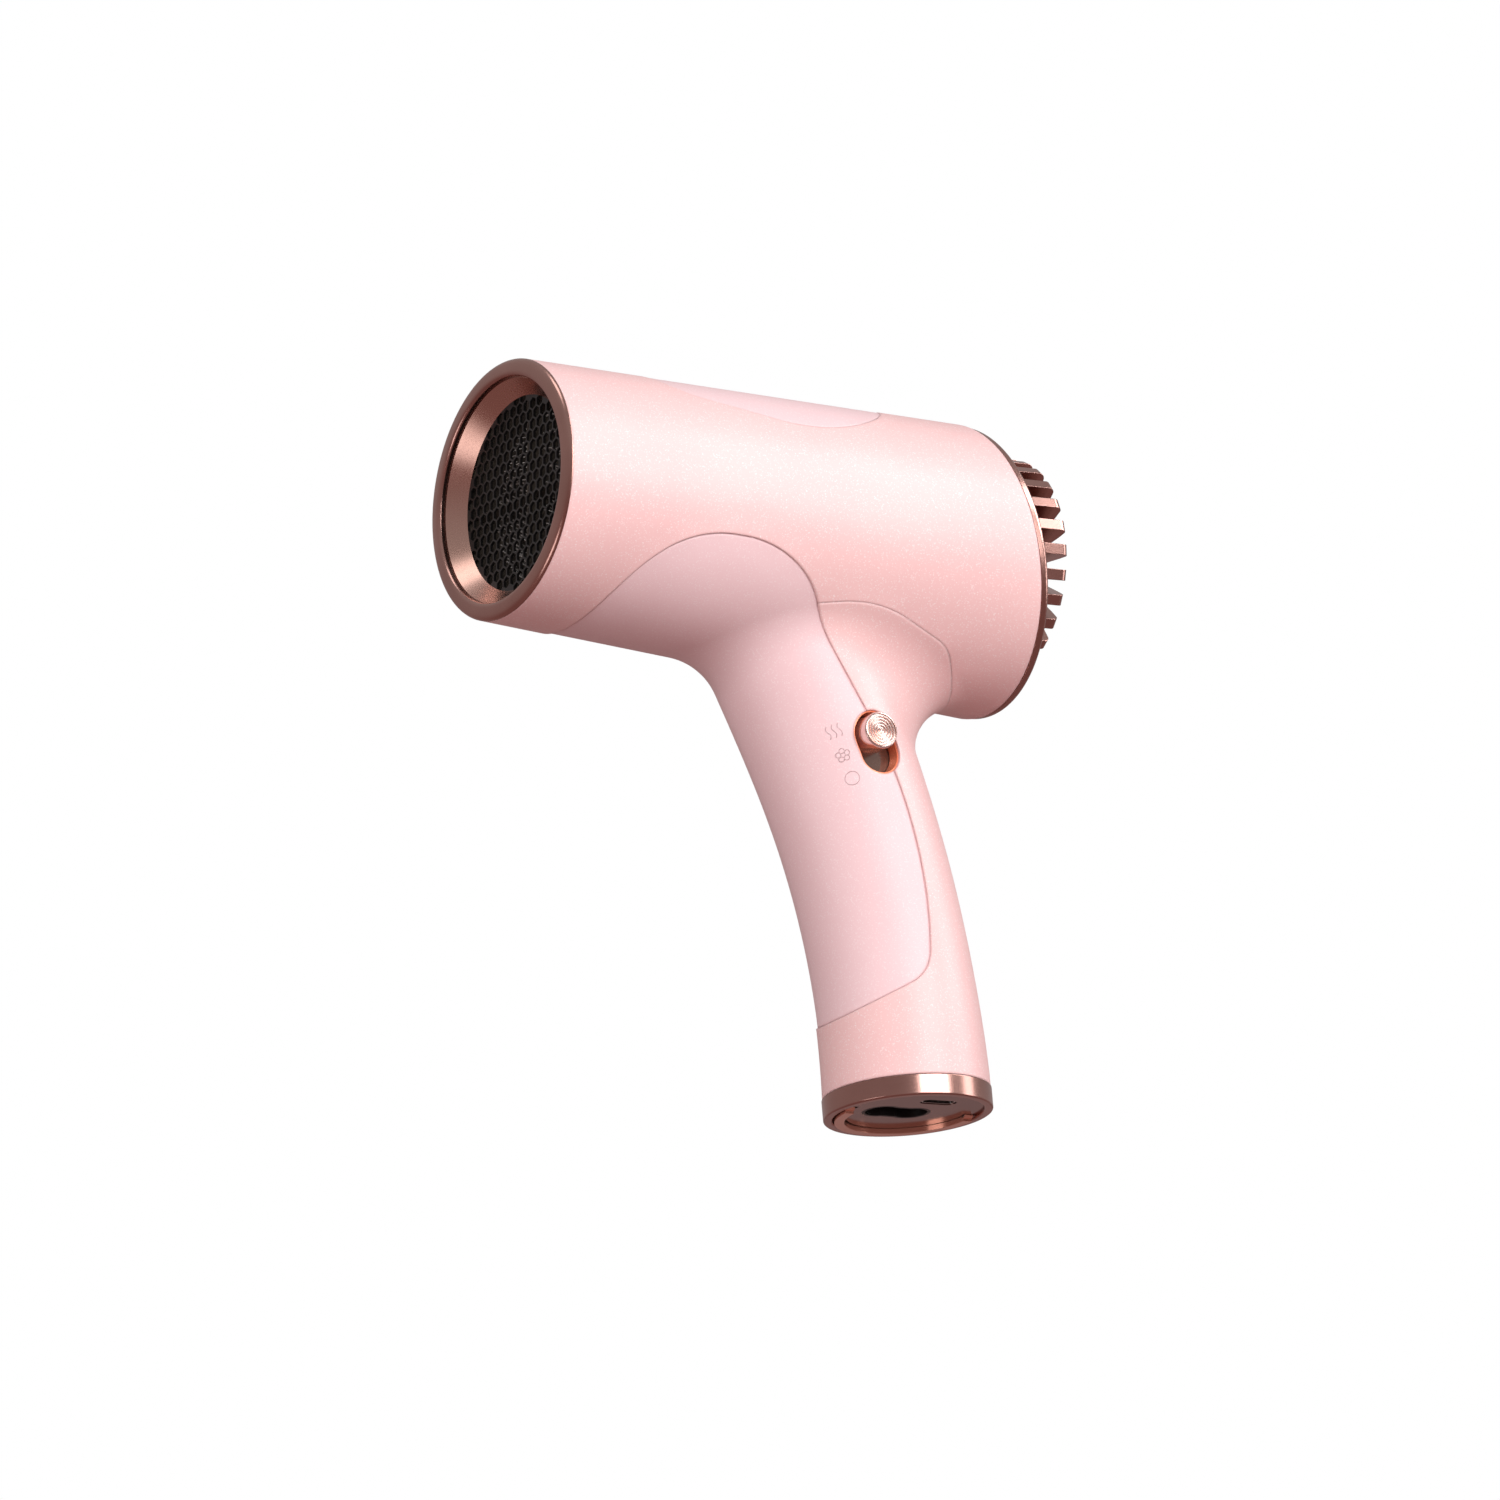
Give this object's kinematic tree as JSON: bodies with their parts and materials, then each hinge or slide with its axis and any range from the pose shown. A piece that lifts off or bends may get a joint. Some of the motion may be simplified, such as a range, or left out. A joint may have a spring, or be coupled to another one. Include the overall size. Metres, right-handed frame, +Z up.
{
  "type": "travel hair dryer",
  "caption": "Compact cordless hair dryer: tapered barrel with honeycomb outlet and finned rear intake, curved handle with side slide switch, power ports and a fold-out hanging loop.",
  "frame": {"origin": "centre of the air outlet's front edge, on the barrel axis", "axes": "+X runs back along the barrel, -X is the way the air leaves, +Z is up (handle down), -Y is the side with the switch"},
  "size_m": [0.1448, 0.0688, 0.1743],
  "materials": {
    "shell_pink": "satin pearl paint",
    "panel_pink": "soft satin",
    "rose_plate": "rose-gold plating",
    "bowl_rose": "rose-gold plating, satin",
    "grille_black": "black heatproof moulding",
    "duct_black": "moulded",
    "mica": "dark mica sheet",
    "heater_wire": "bright resistance wire",
    "guard_body": "plain",
    "motor_steel": "zinc plated",
    "magnet": "ground",
    "bronze": "sintered",
    "copper_winding": "enamelled wire",
    "mesh_steel": "fine screen",
    "base_rose": "matt rose-brown",
    "loop_copper": "rose-copper plated",
    "pin_steel": "bright",
    "inlet_black": "black moulding",
    "board_green": "solder mask",
    "component": "plain",
    "cell_wrap": "shrink sleeve",
    "carrier": "moulded",
    "nickel": "bright strip",
    "bezel_copper": "polished copper plating",
    "window_brown": "dark mirror",
    "knob_metal": "turned rose-gold face",
    "carriage_white": "moulded"
  },
  "bodies": {
    "housing": {"barrel_shell": "shell_pink", "rear_handle_shell": "shell_pink", "top_inlay": "panel_pink", "front_grip_cover": "panel_pink", "outlet_ring": "rose_plate", "rear_rim": "rose_plate", "fin_cage": "rose_plate", "end_band": "rose_plate", "outlet_bowl": "bowl_rose", "outlet_grille": "grille_black", "air_duct": "duct_black", "motor_mount": "duct_black", "motor_end_cap": "duct_black", "mica_sleeve": "mica", "mica_plate_level": "mica", "mica_plate_upright": "mica", "heater_coils": "heater_wire", "thermal_cutout": "guard_body", "thermal_fuse": "guard_body", "motor_can": "motor_steel", "mount_screws": "motor_steel", "motor_magnets": "magnet", "motor_bushes": "bronze", "motor_brushes": "bronze", "intake_mesh": "mesh_steel", "end_plate": "base_rose", "loop_pins": "pin_steel", "inlet_pins": "pin_steel", "usb_shell": "pin_steel", "inlet_shell": "inlet_black", "usb_tongue": "inlet_black", "control_board": "board_green", "charge_board": "board_green", "usb_riser": "board_green", "board_components": "component", "switch_housing": "component", "battery_cell_1": "cell_wrap", "battery_cell_2": "cell_wrap", "battery_cell_3": "cell_wrap", "battery_carrier_lower": "carrier", "battery_carrier_upper": "carrier", "battery_link": "nickel", "switch_bezel": "bezel_copper"},
    "rotor": {"motor_shaft": "motor_steel", "rotor_core": "motor_steel", "rotor_windings": "copper_winding", "commutator": "bronze", "fan": "duct_black"},
    "switch": {"switch_knob": "knob_metal", "switch_window": "window_brown", "switch_carriage": "carriage_white"},
    "loop": {"hanging_loop": "loop_copper"}
  },
  "joints": [
    {"name": "rotor_spin", "type": "hinge", "parent": "housing", "child": "rotor", "pos_m": [0.102, 0, 0], "axis": [1, 0, 0], "continuous": true},
    {"name": "switch_slide", "type": "slide", "parent": "housing", "child": "switch", "axis": [0.4134, 0, -0.9105], "range_m": [0, 0.0045]},
    {"name": "loop_fold", "type": "hinge", "parent": "housing", "child": "loop", "pos_m": [0.11295, 0, -0.13665], "axis": [-0.9951, 0, -0.0993], "range_deg": [0, 110]}
  ]
}
